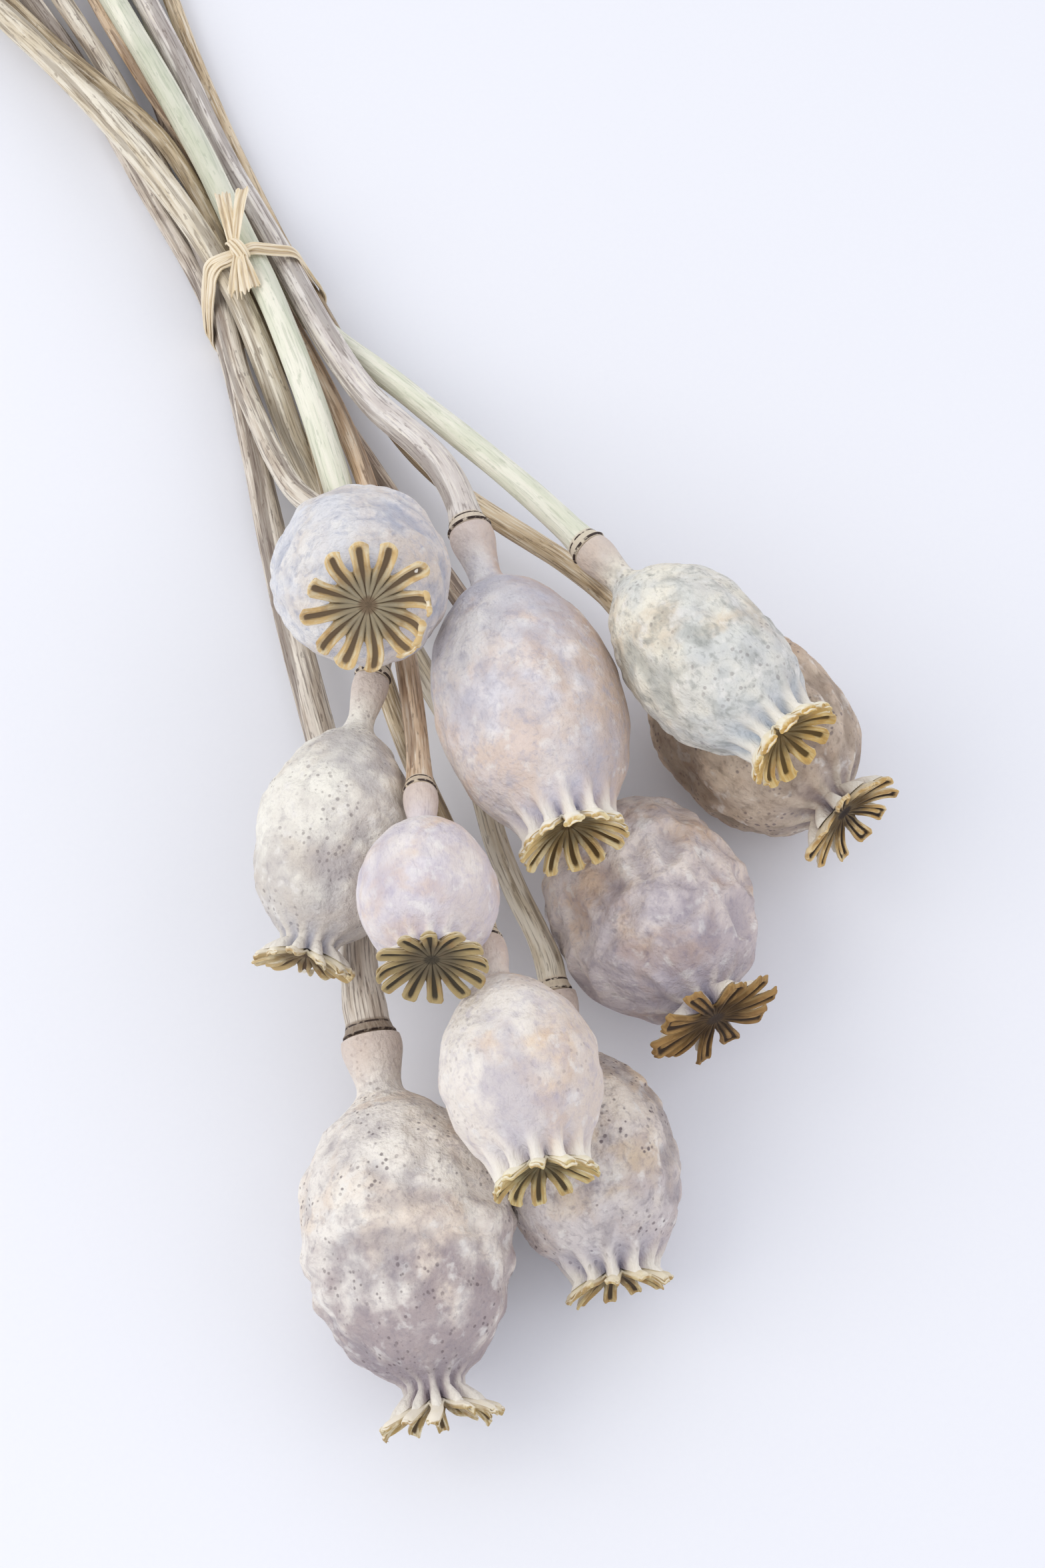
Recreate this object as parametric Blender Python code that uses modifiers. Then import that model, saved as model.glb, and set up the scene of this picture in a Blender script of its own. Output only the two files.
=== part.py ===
# A bunch of ten dried poppy seed heads, tied once with raffia and lying on a flat surface.
# The bunch lies along Y, its heads towards -Y, and the surface is at Z 0.
# Places are measured from the tie, in millimetres up to the point where a mesh is made,
# and at the end the whole bunch is shifted so that its box stands centred on the origin.
import math

import bmesh
import bpy
import numpy as np
from mathutils import Matrix, Vector

MM = 0.001
GAP = 0.3
STEM_GAP = 0.75
CLOSE_ENOUGH = 0.03
UP = np.array([0.0, 0.0, 1.0])

# Each head is set by the middle of its capsule, the way it points and its sizes.
# Bearing is measured from -Y towards +X, and pitch is upwards. Above and below are the distances
# from the middle to the crown and to the ring, and body is how far the swollen part reaches
# towards the ring and towards the crown. Neck is a radius, droop bends the neck down at the ring,
# collar is the radius under the crown as a share of the crown's, crown is the radius of the disc, notch is how far out the gaps between its lobes begin,
# and cup is how far its rim stands forward of its middle.
# Each stem is set by its radius at the head and at the cut, its place in the tie,
# its cut end, and the points that it passes on its way from the head to the tie.
STALKS = {
    "a": {
        "middle": (-18.9, -108.2, 60.2), "bearing": -16, "pitch": 42, "droop": 5, "width": 34.3,
        "above": 18, "below": 26, "neck": 3.0, "body": (18, 16.5), "collar": 0.7,
        "crown": 13.2, "rays": 12, "notch": 0.55, "cup": 2.0,
        "stem": (3.3, 3.0), "slot": (1.4, 16.2), "cut": (5, 168, 8), "via": [(-3, -40, 24)],
    },
    "b": {
        "middle": (0.8, -138.3, 45), "bearing": -11, "pitch": 5, "droop": 0, "width": 36.5,
        "above": 29.5, "below": 40, "neck": 3.0, "body": (27.5, 29.8), "collar": 0.88,
        "crown": 10.8, "rays": 12, "notch": 0.58, "cup": 5.0,
        "stem": (3.3, 2.9), "slot": (8.9, 11.6), "cut": (15, 163, 9), "via": [(7.4, -48, 25)],
    },
    "c": {
        "middle": (32.4, -150.3, 53.8), "bearing": 11, "pitch": 9, "droop": 0, "width": 29.8,
        "above": 22.5, "below": 34, "neck": 2.6, "body": (23, 22.5), "collar": 0.8,
        "crown": 10.2, "rays": 11, "notch": 0.62, "cup": 4.6,
        "stem": (2.9, 2.4), "slot": (6.9, 5.8), "cut": (22, 155, 3), "via": [(16.5, -55, 25)],
    },
    "d": {
        "middle": (44.5, -154.1, 18.94), "bearing": 13, "pitch": 8, "droop": 0, "width": 38.5,
        "above": 27.5, "below": 38, "neck": 2.7, "body": (25, 24.5), "collar": 0.55,
        "crown": 12.2, "rays": 10, "notch": 0.45, "cup": 3.2,
        "stem": (2.5, 2.0), "slot": (11.8, 5.6), "cut": (28, 159, 3), "via": [(16, -66, 10)],
    },
    "e": {
        "middle": (-42.6, -143.7, 37), "bearing": -38, "pitch": -5, "droop": 2, "width": 29.6,
        "above": 25.5, "below": 32, "neck": 2.4, "body": (21, 23.5), "collar": 0.68,
        "crown": 10.4, "rays": 11, "notch": 0.55, "cup": 2.6,
        "stem": (2.7, 2.4), "slot": (-5.8, 11.2), "cut": (-8, 161, 4), "via": [(-16, -60, 20)],
    },
    "f": {
        "middle": (-35.0, -169.5, 55), "bearing": -22, "pitch": 18, "droop": 1, "width": 25.8,
        "above": 16, "below": 24, "neck": 2.2, "body": (14.5, 14.5), "collar": 0.7,
        "crown": 10.4, "rays": 12, "notch": 0.58, "cup": 2.2,
        "stem": (2.4, 2.0), "slot": (3.5, 10.3), "cut": (2, 150, 3), "via": [(0, -60, 20), (-14.5, -116, 33.5)],
    },
    "g": {
        "middle": (-34.2, -204.4, 45.6), "bearing": -14, "pitch": 3, "droop": 3, "width": 28.5,
        "above": 18, "below": 26, "neck": 2.2, "body": (18, 18.4), "collar": 0.88,
        "crown": 10.2, "rays": 11, "notch": 0.58, "cup": 3.4,
        "stem": (2.3, 2.0), "slot": (-0.9, 10.0), "cut": (-26, 152, 3), "via": [(-9, -62, 14), (-21, -128, 26)],
    },
    "h": {
        "middle": (7.6, -179.3, 19.17), "bearing": -2, "pitch": 10, "droop": 0, "width": 39,
        "above": 28, "below": 34, "neck": 2.7, "body": (22.5, 24.5), "collar": 0.56,
        "crown": 13.6, "rays": 10, "notch": 0.38, "cup": 1.4,
        "stem": (2.4, 2.1), "slot": (1.7, 5.2), "cut": (10, 148, 3), "via": [(5, -70, 9)],
    },
    "i": {
        "middle": (-26.0, -218.0, 17.38), "bearing": -15.5, "pitch": -3, "droop": 0, "width": 34.4,
        "above": 22.6, "below": 32, "neck": 2.7, "body": (21, 22), "collar": 0.82,
        "crown": 10.6, "rays": 11, "notch": 0.56, "cup": 3.0,
        "stem": (2.5, 3.1), "slot": (-5.6, 16.6), "cut": (-36, 165, 5), "via": [(-8, -60, 9)],
    },
    "j": {
        "middle": (-63.2, -214.6, 20.23), "bearing": -15.5, "pitch": -3, "droop": 0, "width": 39.6,
        "above": 32.2, "below": 36, "neck": 3.9, "body": (25, 29.8), "collar": 0.68,
        "crown": 11.8, "rays": 12, "notch": 0.5, "cup": 3.6,
        "stem": (3.8, 2.7), "slot": (-8.7, 6.0), "cut": (-17, 158, 4), "via": [(-27, -80, 8), (-40, -138, 13)],
    },
}

STEM_SAMPLES = 90
STEM_POINTS = 24
RING_LENGTH = 2.4
RING_FLARE = 1.34
STEM_LEAD = 9.0
PUSH_SPREAD = 7.0
DROOP_REACH = 0.6
BODY_BALLS = 16
CROWN_THICKNESS = 1.1
UNDERSIDE = 0.97
TIE_WIDTH = 3.8
TIE_THICKNESS = 0.8

COLOURS = {
    "stem": ((0.56, 0.49, 0.36), 0.75),
    "capsule": ((0.72, 0.69, 0.66), 0.80),
    "crown": ((0.42, 0.29, 0.11), 0.85),
    "raffia": ((0.62, 0.50, 0.32), 0.65),
}


def clear_scene():
    for item in list(bpy.data.objects):
        bpy.data.objects.remove(item, do_unlink=True)


def new_collection(name):
    collection = bpy.data.collections.new(name)
    bpy.context.scene.collection.children.link(collection)
    return collection


def material(kind, name):
    colour, roughness = COLOURS[kind]
    made = bpy.data.materials.new(name)
    made.use_nodes = True
    shader = made.node_tree.nodes["Principled BSDF"]
    shader.inputs["Base Color"].default_value = (*colour, 1.0)
    shader.inputs["Roughness"].default_value = roughness
    shader.inputs["Metallic"].default_value = 0.0
    return made


def mesh_object(name, shape, kind, collection, matrix):
    bmesh.ops.recalc_face_normals(shape, faces=shape.faces)
    mesh = bpy.data.meshes.new(name)
    shape.to_mesh(mesh)
    shape.free()
    mesh.shade_smooth()
    mesh.set_sharp_from_angle(angle=math.radians(50))
    mesh.materials.append(material(kind, name))
    made = bpy.data.objects.new(name, mesh)
    collection.objects.link(made)
    made.matrix_world = matrix
    return made


# Heads

def head_axes(stalk):
    bearing = math.radians(stalk["bearing"])
    pitch = math.radians(stalk["pitch"])
    forward = np.array([
        math.sin(bearing) * math.cos(pitch),
        -math.cos(bearing) * math.cos(pitch),
        math.sin(pitch),
    ])
    side = np.cross(UP, forward)
    side /= np.linalg.norm(side)
    return side, np.cross(forward, side), forward


def head_matrix(stalk):
    side, rise, forward = head_axes(stalk)
    matrix = Matrix.Identity(4)
    for column, axis in enumerate((side, rise, forward)):
        for row in range(3):
            matrix[row][column] = axis[row]
    for row in range(3):
        matrix[row][3] = stalk["middle"][row] * MM
    return matrix


def neck_sag(stalk, height):
    # How far below the head's own axis the neck lies, from the ring up to the body
    reach = DROOP_REACH * stalk["below"]
    from_ring = height + stalk["below"]
    if from_ring >= reach:
        return 0.0
    return stalk["droop"] * (1 - from_ring / reach) ** 2


def ring_point(stalk):
    side, rise, forward = head_axes(stalk)
    return np.array(stalk["middle"]) - stalk["below"] * forward - stalk["droop"] * rise


def ring_direction(stalk):
    side, rise, forward = head_axes(stalk)
    slope = 2 * stalk["droop"] / (DROOP_REACH * stalk["below"])
    direction = forward + slope * rise
    return direction / np.linalg.norm(direction)


def capsule_radius(stalk, height):
    # A slim neck that swells into a stout body, then a short collar that flares under the crown
    half_width = stalk["width"] / 2
    lower, upper = stalk["body"]
    from_ring = height + stalk["below"]
    neck = stalk["neck"] * (1 + 0.42 * math.exp(-(from_ring / 4.5) ** 2))
    if height < 0:
        part = max(0.0, 1 + height / lower)
        eased = part ** 2 * 1.14 / (part + 0.14)
        return neck + (half_width - neck) * (1 - (1 - eased) ** 2) ** 0.6
    dome = half_width * max(0.0, 1 - min(1.0, height / upper) ** 2.5) ** 0.46
    waist = (height - stalk["above"]) / (0.4 * stalk["crown"])
    collar = stalk["collar"] * stalk["crown"] * math.exp(-waist ** 2)
    return (dome ** 5 + collar ** 5) ** 0.2


def cup_rise(stalk, radius):
    # How far the underside of the crown has risen at this distance from the axis
    return stalk["cup"] * radius / (UNDERSIDE * stalk["crown"])


def capsule_heights(stalk):
    below = stalk["below"]
    lower, upper = stalk["body"]
    top = stalk["above"] - CROWN_THICKNESS - GAP
    heights = [GAP - below, 0.5 * (GAP - below - lower), -0.98 * lower, -0.8 * lower, -0.55 * lower]
    heights += [-0.25 * lower, 0.1 * upper, 0.45 * upper, 0.72 * upper, 0.88 * upper]
    heights += [0.5 * (0.88 * upper + top), top]
    return heights


def make_capsule(letter, stalk, collection):
    # A turned barrel whose ridges, one for each ray of the crown, sharpen towards the crown,
    # and whose top is hollowed to carry the cup of the crown
    rays = stalk["rays"]
    steps = 2 * rays
    shape = bmesh.new()
    rings = []
    heights = capsule_heights(stalk)
    for height in heights:
        radius = capsule_radius(stalk, height)
        ridge = 0.0
        if height > -0.9 * stalk["body"][0]:
            ridge = 0.014 + 0.11 * max(0.0, height / stalk["above"]) ** 2
        sag = neck_sag(stalk, height)
        tilt = math.atan2(neck_sag(stalk, height) - neck_sag(stalk, height + 0.1), 0.1)
        ring = []
        for step in range(steps):
            turn = math.tau * step / steps
            spoke = radius * (1 + ridge * math.cos(rays * turn))
            rise = spoke * math.sin(turn)
            level = height - rise * math.sin(tilt)
            if height == heights[-1]:
                level += cup_rise(stalk, spoke)
            place = (spoke * math.cos(turn), rise * math.cos(tilt) - sag, level)
            ring.append(shape.verts.new(Vector(place) * MM))
        rings.append(ring)
    for lower, upper in zip(rings, rings[1:]):
        for step in range(steps):
            following = (step + 1) % steps
            shape.faces.new((lower[step], lower[following], upper[following], upper[step]))
    shape.faces.new(rings[0][::-1])
    top = shape.verts.new(Vector((0, 0, heights[-1])) * MM)
    for step in range(steps):
        shape.faces.new((rings[-1][step], rings[-1][(step + 1) % steps], top))
    return mesh_object("capsule_" + letter, shape, "capsule", collection, head_matrix(stalk))


def make_crown(letter, stalk, collection):
    # A shallow cup cut into one blunt lobe for each ray, with a raised ray along each lobe
    rays = stalk["rays"]
    reach = stalk["crown"]
    inner = 0.4
    lobe = ((0.0, 1.0, 0.55), (0.25, 0.95, 0.0), (0.5, stalk["notch"], -0.25), (0.75, 0.95, 0.0))
    steps = len(lobe) * rays
    shape = bmesh.new()
    outlines = {"upper": [], "lower": [], "inner": []}
    for step in range(steps):
        share, spread, ray = lobe[step % len(lobe)]
        turn = math.tau * (step // len(lobe) + share) / rays
        heading = Vector((math.cos(turn), math.sin(turn), 0))
        rim = stalk["cup"] * spread
        outlines["lower"].append(heading * reach * spread * UNDERSIDE + Vector((0, 0, rim)))
        outlines["upper"].append(heading * reach * spread + Vector((0, 0, rim + CROWN_THICKNESS + 0.3 * ray)))
        level = inner * stalk["cup"] + CROWN_THICKNESS + 0.5 * ray
        outlines["inner"].append(heading * reach * inner + Vector((0, 0, level)))
    made = {}
    for name, places in outlines.items():
        made[name] = [shape.verts.new((place + Vector((0, 0, stalk["above"] - CROWN_THICKNESS))) * MM) for place in places]
    hub_top = shape.verts.new(Vector((0, 0, stalk["above"] + 0.5)) * MM)
    hub_bottom = shape.verts.new(Vector((0, 0, stalk["above"] - CROWN_THICKNESS)) * MM)
    for step in range(steps):
        following = (step + 1) % steps
        shape.faces.new((made["inner"][step], made["inner"][following], hub_top))
        shape.faces.new((made["lower"][following], made["lower"][step], hub_bottom))
        for first, second in (("lower", "upper"), ("upper", "inner")):
            shape.faces.new((made[first][step], made[first][following], made[second][following]))
            shape.faces.new((made[first][step], made[second][following], made[second][step]))
    return mesh_object("crown_" + letter, shape, "crown", collection, head_matrix(stalk))


# Stems

def smooth_route(corners, samples):
    # A cubic curve through the corners, read at even steps along its chords
    corners = np.array(corners, dtype=float)
    chords = np.linalg.norm(np.diff(corners, axis=0), axis=1)
    knots = np.concatenate([[0.0], np.cumsum(chords)])
    slopes = np.gradient(corners, knots, axis=0)
    times = np.linspace(0.0, knots[-1], samples)
    index = np.clip(np.searchsorted(knots, times, side="right") - 1, 0, len(chords) - 1)
    span = chords[index][:, None]
    part = (times - knots[index])[:, None] / span
    start = (2 * part ** 3 - 3 * part ** 2 + 1) * corners[index]
    start += (part ** 3 - 2 * part ** 2 + part) * span * slopes[index]
    finish = (3 * part ** 2 - 2 * part ** 3) * corners[index + 1]
    finish += (part ** 3 - part ** 2) * span * slopes[index + 1]
    return start + finish


def first_route(stalk):
    ring = ring_point(stalk)
    lead = ring - STEM_LEAD * ring_direction(stalk)
    slot_x, slot_z = stalk["slot"]
    corners = [ring, lead, *reversed(stalk["via"]), (slot_x, 0, slot_z), stalk["cut"]]
    return smooth_route(corners, STEM_SAMPLES)


def head_balls(stalk):
    # Balls that fill a head, for keeping the other stalks' stems out of it
    side, rise, forward = head_axes(stalk)
    middle = np.array(stalk["middle"])
    centres = []
    radii = []
    for height in np.linspace(-stalk["below"], stalk["above"] - 1, BODY_BALLS):
        centres.append(middle + height * forward - neck_sag(stalk, height) * rise)
        radii.append(capsule_radius(stalk, height) * 1.03)
    for turn in np.linspace(0, math.tau, 24, endpoint=False):
        spoke = math.cos(turn) * side + math.sin(turn) * rise
        centres.append(middle + (stalk["above"] + stalk["cup"] - 0.4) * forward + (stalk["crown"] - 1) * spoke)
        radii.append(1.6)
    return np.array(centres), np.array(radii)


def push(route, index, move, freedom):
    # Move one sample of a route and, less and less, those along it on both sides
    along = np.arange(len(route)) - index
    route += np.exp(-(along / PUSH_SPREAD) ** 2)[:, None] * move * freedom[:, None] * freedom[index]


def stem_floor(y):
    # The tie passes under the stems, so they stand clear of the surface there
    return 0.15 + (TIE_THICKNESS + 2 * GAP) * np.exp(-(y / 26) ** 2)


def ease_apart(routes, radii, rounds=400):
    # Stems that would touch each other, a head or the surface are bent clear, a little at a time
    letters = list(routes)
    balls = {letter: head_balls(STALKS[letter]) for letter in letters}
    freedom = np.clip((np.arange(STEM_SAMPLES) - 2) / 7, 0, 1)
    for _ in range(rounds):
        worst = 0.0
        for place, first in enumerate(letters):
            for second in letters[place + 1:]:
                between = routes[first][:, None] - routes[second][None]
                apart = np.linalg.norm(between, axis=2)
                spare = apart - radii[first][:, None] - radii[second][None] - STEM_GAP
                near = np.unravel_index(np.argmin(spare), spare.shape)
                if spare[near] < 0:
                    move = -0.3 * spare[near] * between[near] / apart[near]
                    push(routes[first], near[0], move, freedom)
                    push(routes[second], near[1], -move, freedom)
                    worst = min(worst, spare[near])
            for other in letters:
                centres, sizes = balls[other]
                reach = slice(6, None) if other == first else slice(0, None)
                between = routes[first][reach, None] - centres[None]
                apart = np.linalg.norm(between, axis=2)
                spare = apart - radii[first][reach, None] - sizes[None] - STEM_GAP
                if other == first:
                    spare[:, :BODY_BALLS] = 1.0
                near = np.unravel_index(np.argmin(spare), spare.shape)
                if spare[near] < 0:
                    move = -0.5 * spare[near] * between[near] / apart[near]
                    push(routes[first], near[0] + (reach.start or 0), move, freedom)
                    worst = min(worst, spare[near])
            height = routes[first][:, 2] - radii[first] - stem_floor(routes[first][:, 1])
            low = np.argmin(height)
            if height[low] < 0:
                push(routes[first], low, -0.6 * height[low] * UP, freedom)
                worst = min(worst, height[low])
        if worst > -CLOSE_ENOUGH:
            break


def stem_radii(stalk):
    head_end, cut_end = stalk["stem"]
    along = np.linspace(0, 1, STEM_SAMPLES)
    radii = head_end + (cut_end - head_end) * np.clip(along / 0.6, 0, 1)
    radii[:2] *= RING_FLARE
    return radii


def make_stem(letter, stalk, route, radii, collection):
    # An eight-sided tube whose last few millimetres widen into the ring under the capsule
    curve = bpy.data.curves.new("stem_" + letter, "CURVE")
    curve.dimensions = "3D"
    curve.bevel_depth = MM
    curve.bevel_resolution = 2
    curve.use_fill_caps = True
    direction = ring_direction(stalk)
    end = ring_point(stalk)
    thick = stalk["stem"][0]
    points = [(end, thick * 1.2), (end - 0.5 * direction, thick * RING_FLARE)]
    points.append((end - RING_LENGTH * direction, thick * 1.12))
    lengths = np.linalg.norm(np.diff(route, axis=0), axis=1)
    travelled = np.concatenate([[0.0], np.cumsum(lengths)])
    for share in np.linspace(0, 1, STEM_POINTS - 3) ** 1.35:
        distance = 2.6 * RING_LENGTH * (1 - share) + travelled[-1] * share
        place = [np.interp(distance, travelled, route[:, axis]) for axis in range(3)]
        points.append((place, np.interp(distance, travelled, radii)))
    spline = curve.splines.new("POLY")
    spline.points.add(len(points) - 1)
    for point, (place, radius) in zip(spline.points, points):
        point.co = (*(Vector(place) * MM), 1.0)
        point.radius = radius
    spline.use_smooth = True
    curve.materials.append(material("stem", "stem_" + letter))
    made = bpy.data.objects.new("stem_" + letter, curve)
    collection.objects.link(made)
    return made


# The raffia tie

def bundle_outline(routes, radii, centre, clearance, sides):
    # The taut outline round the stems where the tie holds them
    outline = []
    for turn in np.linspace(0, math.tau, sides, endpoint=False):
        heading = np.array([math.cos(turn), math.sin(turn)])
        best = None
        for letter in routes:
            route = routes[letter]
            for sample in np.flatnonzero(abs(route[:, 1]) < 8):
                edge = route[sample, [0, 2]] + (radii[letter][sample] + clearance) * heading
                reach = (edge - centre) @ heading
                if best is None or reach > best[0]:
                    best = (reach, edge)
        outline.append(best[1])
    return np.array(outline)


def strip(name, rows, thickness, collection, closed=False):
    # A flat strip: rows of two edge points, given its thickness by Solidify
    shape = bmesh.new()
    edges = [[shape.verts.new(Vector(point) * MM) for point in row] for row in rows]
    pairs = list(zip(edges, edges[1:]))
    if closed:
        pairs.append((edges[-1], edges[0]))
    for first, second in pairs:
        shape.faces.new((first[0], first[1], second[1], second[0]))
    mesh = bpy.data.meshes.new(name)
    shape.to_mesh(mesh)
    shape.free()
    made = bpy.data.objects.new(name, mesh)
    collection.objects.link(made)
    solid = made.modifiers.new("thickness", "SOLIDIFY")
    solid.thickness = thickness * MM
    solid.offset = 0.0
    return made


def tie_band(routes, radii, loose):
    centre = np.array([1.0, 9.0])
    outline = bundle_outline(routes, radii, centre, 0.5 * TIE_THICKNESS + GAP, 32)
    rows = []
    for x, z in outline:
        slant = 0.26 * (z - centre[1])
        width = TIE_WIDTH * (1.15 if x < centre[0] else 0.85)
        rows.append(((x, slant - width / 2, z), (x, slant + width / 2, z)))
    return strip("band", rows, TIE_THICKNESS, loose, closed=True), outline[:, 1].max()


def tail(name, start, finish, widths, lift, loose):
    # A flat end of raffia that leaves the knot, rises a little and widens
    start = np.array(start, dtype=float)
    finish = np.array(finish, dtype=float)
    along = (finish - start) / np.linalg.norm(finish - start)
    across = np.cross(UP, along)
    rows = []
    for part in np.linspace(0, 1, 5):
        place = start + part * (finish - start) + lift * math.sin(math.pi * part) * UP
        half = 0.5 * (widths[0] + part * (widths[1] - widths[0]))
        rows.append((place - half * across, place + half * across))
    return strip(name, rows, TIE_THICKNESS, loose)


def make_tie(routes, radii, collection, loose):
    band, top = tie_band(routes, radii, loose)
    knot_place = (0.2, 3.2, top + 0.9)
    shape = bmesh.new()
    bmesh.ops.create_uvsphere(shape, u_segments=12, v_segments=8, radius=1.0)
    bmesh.ops.scale(shape, verts=shape.verts, vec=Vector((2.0, 2.9, 1.7)) * MM)
    bmesh.ops.translate(shape, verts=shape.verts, vec=Vector(knot_place) * MM)
    mesh = bpy.data.meshes.new("raffia_tie")
    shape.to_mesh(mesh)
    shape.free()
    knot = bpy.data.objects.new("raffia_tie", mesh)
    collection.objects.link(knot)
    level = top + 1.0
    tail("tail_high_left", (0, 4, level), (3.6, 18, level + 0.8), (1.8, 2.6), 1.2, loose)
    tail("tail_high_right", (0.6, 4, level + 0.4), (7.6, 17, level + 2.6), (1.6, 2.6), 1.0, loose)
    tail("tail_low_left", (0, 2, level), (-5.2, -7.5, level + 0.6), (1.8, 3.0), 0.8, loose)
    tail("tail_low_right", (0.2, 2, level + 0.3), (-2.2, -8.5, level + 1.0), (1.8, 3.2), 1.0, loose)
    union = knot.modifiers.new("union", "BOOLEAN")
    union.operation = "UNION"
    union.operand_type = "COLLECTION"
    union.collection = loose
    union.solver = "EXACT"
    bpy.context.view_layer.update()
    joined = bpy.data.meshes.new_from_object(knot.evaluated_get(bpy.context.evaluated_depsgraph_get()))
    knot.modifiers.clear()
    knot.data = joined
    joined.materials.clear()
    joined.materials.append(material("raffia", "raffia_tie"))
    for piece in list(loose.objects):
        bpy.data.objects.remove(piece, do_unlink=True)
    return knot


def centre_on_origin(root, pieces):
    # The middle of the box goes over the origin, and its lowest point on the surface
    bpy.context.view_layer.update()
    graph = bpy.context.evaluated_depsgraph_get()
    corners = []
    for piece in pieces:
        seen = piece.evaluated_get(graph)
        mesh = seen.to_mesh()
        corners += [piece.matrix_world @ vertex.co for vertex in mesh.vertices]
        seen.to_mesh_clear()
    corners = np.array(corners)
    low = corners.min(axis=0)
    high = corners.max(axis=0)
    root.location = (-(low[0] + high[0]) / 2, -(low[1] + high[1]) / 2, -low[2])


def build():
    clear_scene()
    bunch = new_collection("poppy_seed_heads")
    loose = new_collection("raffia_strips")
    routes = {letter: first_route(stalk) for letter, stalk in STALKS.items()}
    radii = {letter: stem_radii(stalk) for letter, stalk in STALKS.items()}
    ease_apart(routes, radii)
    root = bpy.data.objects.new("bunch", None)
    bunch.objects.link(root)
    made = []
    for letter, stalk in STALKS.items():
        made.append(make_stem(letter, stalk, routes[letter], radii[letter], bunch))
        made.append(make_capsule(letter, stalk, bunch))
        made.append(make_crown(letter, stalk, bunch))
    made.append(make_tie(routes, radii, bunch, loose))
    for item in made:
        item.parent = root
    centre_on_origin(root, made)


build()
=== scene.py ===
# Looks of a tied bunch of ten dried poppy seed heads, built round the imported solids
import math

import bmesh
import bpy
import numpy as np
from mathutils import Matrix, Vector


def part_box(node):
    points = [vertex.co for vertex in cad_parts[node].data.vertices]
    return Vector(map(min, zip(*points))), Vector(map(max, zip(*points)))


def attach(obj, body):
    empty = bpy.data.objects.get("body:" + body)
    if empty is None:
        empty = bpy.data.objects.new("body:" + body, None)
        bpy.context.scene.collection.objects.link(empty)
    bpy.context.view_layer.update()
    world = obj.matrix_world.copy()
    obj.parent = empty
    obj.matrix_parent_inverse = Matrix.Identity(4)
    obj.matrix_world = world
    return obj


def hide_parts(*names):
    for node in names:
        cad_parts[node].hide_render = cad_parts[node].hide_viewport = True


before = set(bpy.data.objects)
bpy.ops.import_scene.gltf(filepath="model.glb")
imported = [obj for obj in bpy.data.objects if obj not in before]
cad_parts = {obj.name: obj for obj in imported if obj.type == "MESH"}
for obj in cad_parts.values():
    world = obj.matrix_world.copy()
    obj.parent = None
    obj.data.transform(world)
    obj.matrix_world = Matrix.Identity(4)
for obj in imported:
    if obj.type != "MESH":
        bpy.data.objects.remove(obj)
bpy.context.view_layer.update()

mm = 0.001
up = np.array([0.0, 0.0, 1.0])
letters = "abcdefghij"
lowest = 0.05 * mm  # Everything stays this far above the surface


# Small tools for meshes

def deselectAll():
    if bpy.context.object and bpy.context.object.mode != "OBJECT":
        bpy.ops.object.mode_set(mode="OBJECT")
    bpy.ops.object.select_all(action="DESELECT")


def makeActive(piece):
    deselectAll()
    piece.select_set(True)
    bpy.context.view_layer.objects.active = piece


def readPoints(mesh):
    points = np.empty(len(mesh.vertices) * 3)
    mesh.vertices.foreach_get("co", points)
    return points.reshape(-1, 3)


def writePoints(mesh, points):
    mesh.vertices.foreach_set("co", np.ascontiguousarray(points, dtype=np.float64).ravel())
    mesh.update()


def storeValues(mesh, **carried):
    # Values that the mesh carries for its material, one for each point
    for name, values in carried.items():
        values = np.asarray(values, dtype=np.float32)
        vectors = values.ndim == 2
        layer = mesh.attributes.new(name, "FLOAT_VECTOR" if vectors else "FLOAT", "POINT")
        layer.data.foreach_set("vector" if vectors else "value", values.ravel())


def easeStep(values, low, high):
    part = np.clip((np.asarray(values, dtype=float) - low) / (high - low), 0, 1)
    return part * part * (3 - 2 * part)


def bump(values, middle, width):
    return np.exp(-((np.asarray(values, dtype=float) - middle) / width) ** 2)


# Random values for the relief, always the same ones
lattice = np.random.default_rng(17).uniform(-1, 1, (64, 64, 64))
scatter = np.random.default_rng(23).uniform(0, 1, (32, 32, 32, 3))


def noiseAt(points, size, seed=0.0):
    # Smooth noise from about -1 to 1 whose lumps are about one size apart
    places = points / size + seed * np.array([7.31, 3.17, 5.73])
    cell = np.floor(places).astype(int)
    part = places - cell
    part = part * part * (3 - 2 * part)
    total = np.zeros(len(points))
    for corner in np.ndindex(2, 2, 2):
        weight = np.abs(1 - np.array(corner) - part).prod(axis=1)
        index = (cell + corner) % len(lattice)
        total += weight * lattice[index[:, 0], index[:, 1], index[:, 2]]
    return 1.6 * total


def creasesAt(points, size, seed=0.0):
    # Cells parted by narrow lines: near 0 on the lines and up to about 1 inside the cells
    places = points / size + seed * np.array([2.71, 6.13, 4.19])
    cell = np.floor(places).astype(int)
    distances = []
    for corner in np.ndindex(3, 3, 3):
        near = cell + corner - 1
        index = near % len(scatter)
        seeds = near + scatter[index[:, 0], index[:, 1], index[:, 2]]
        distances.append(np.linalg.norm(seeds - places, axis=1))
    distances = np.sort(distances, axis=0)
    return distances[1] - distances[0]


def addSheet(name, across, along):
    # A grid whose x and y run from 0 to 1: the start of every tube, ribbon and lobe
    deselectAll()
    bpy.ops.mesh.primitive_grid_add(
        x_subdivisions=across, y_subdivisions=along, size=1, location=(0, 0, 0))
    sheet = bpy.context.object
    sheet.name = name
    sheet.data.name = name
    return sheet, readPoints(sheet.data) + (0.5, 0.5, 0)


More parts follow.
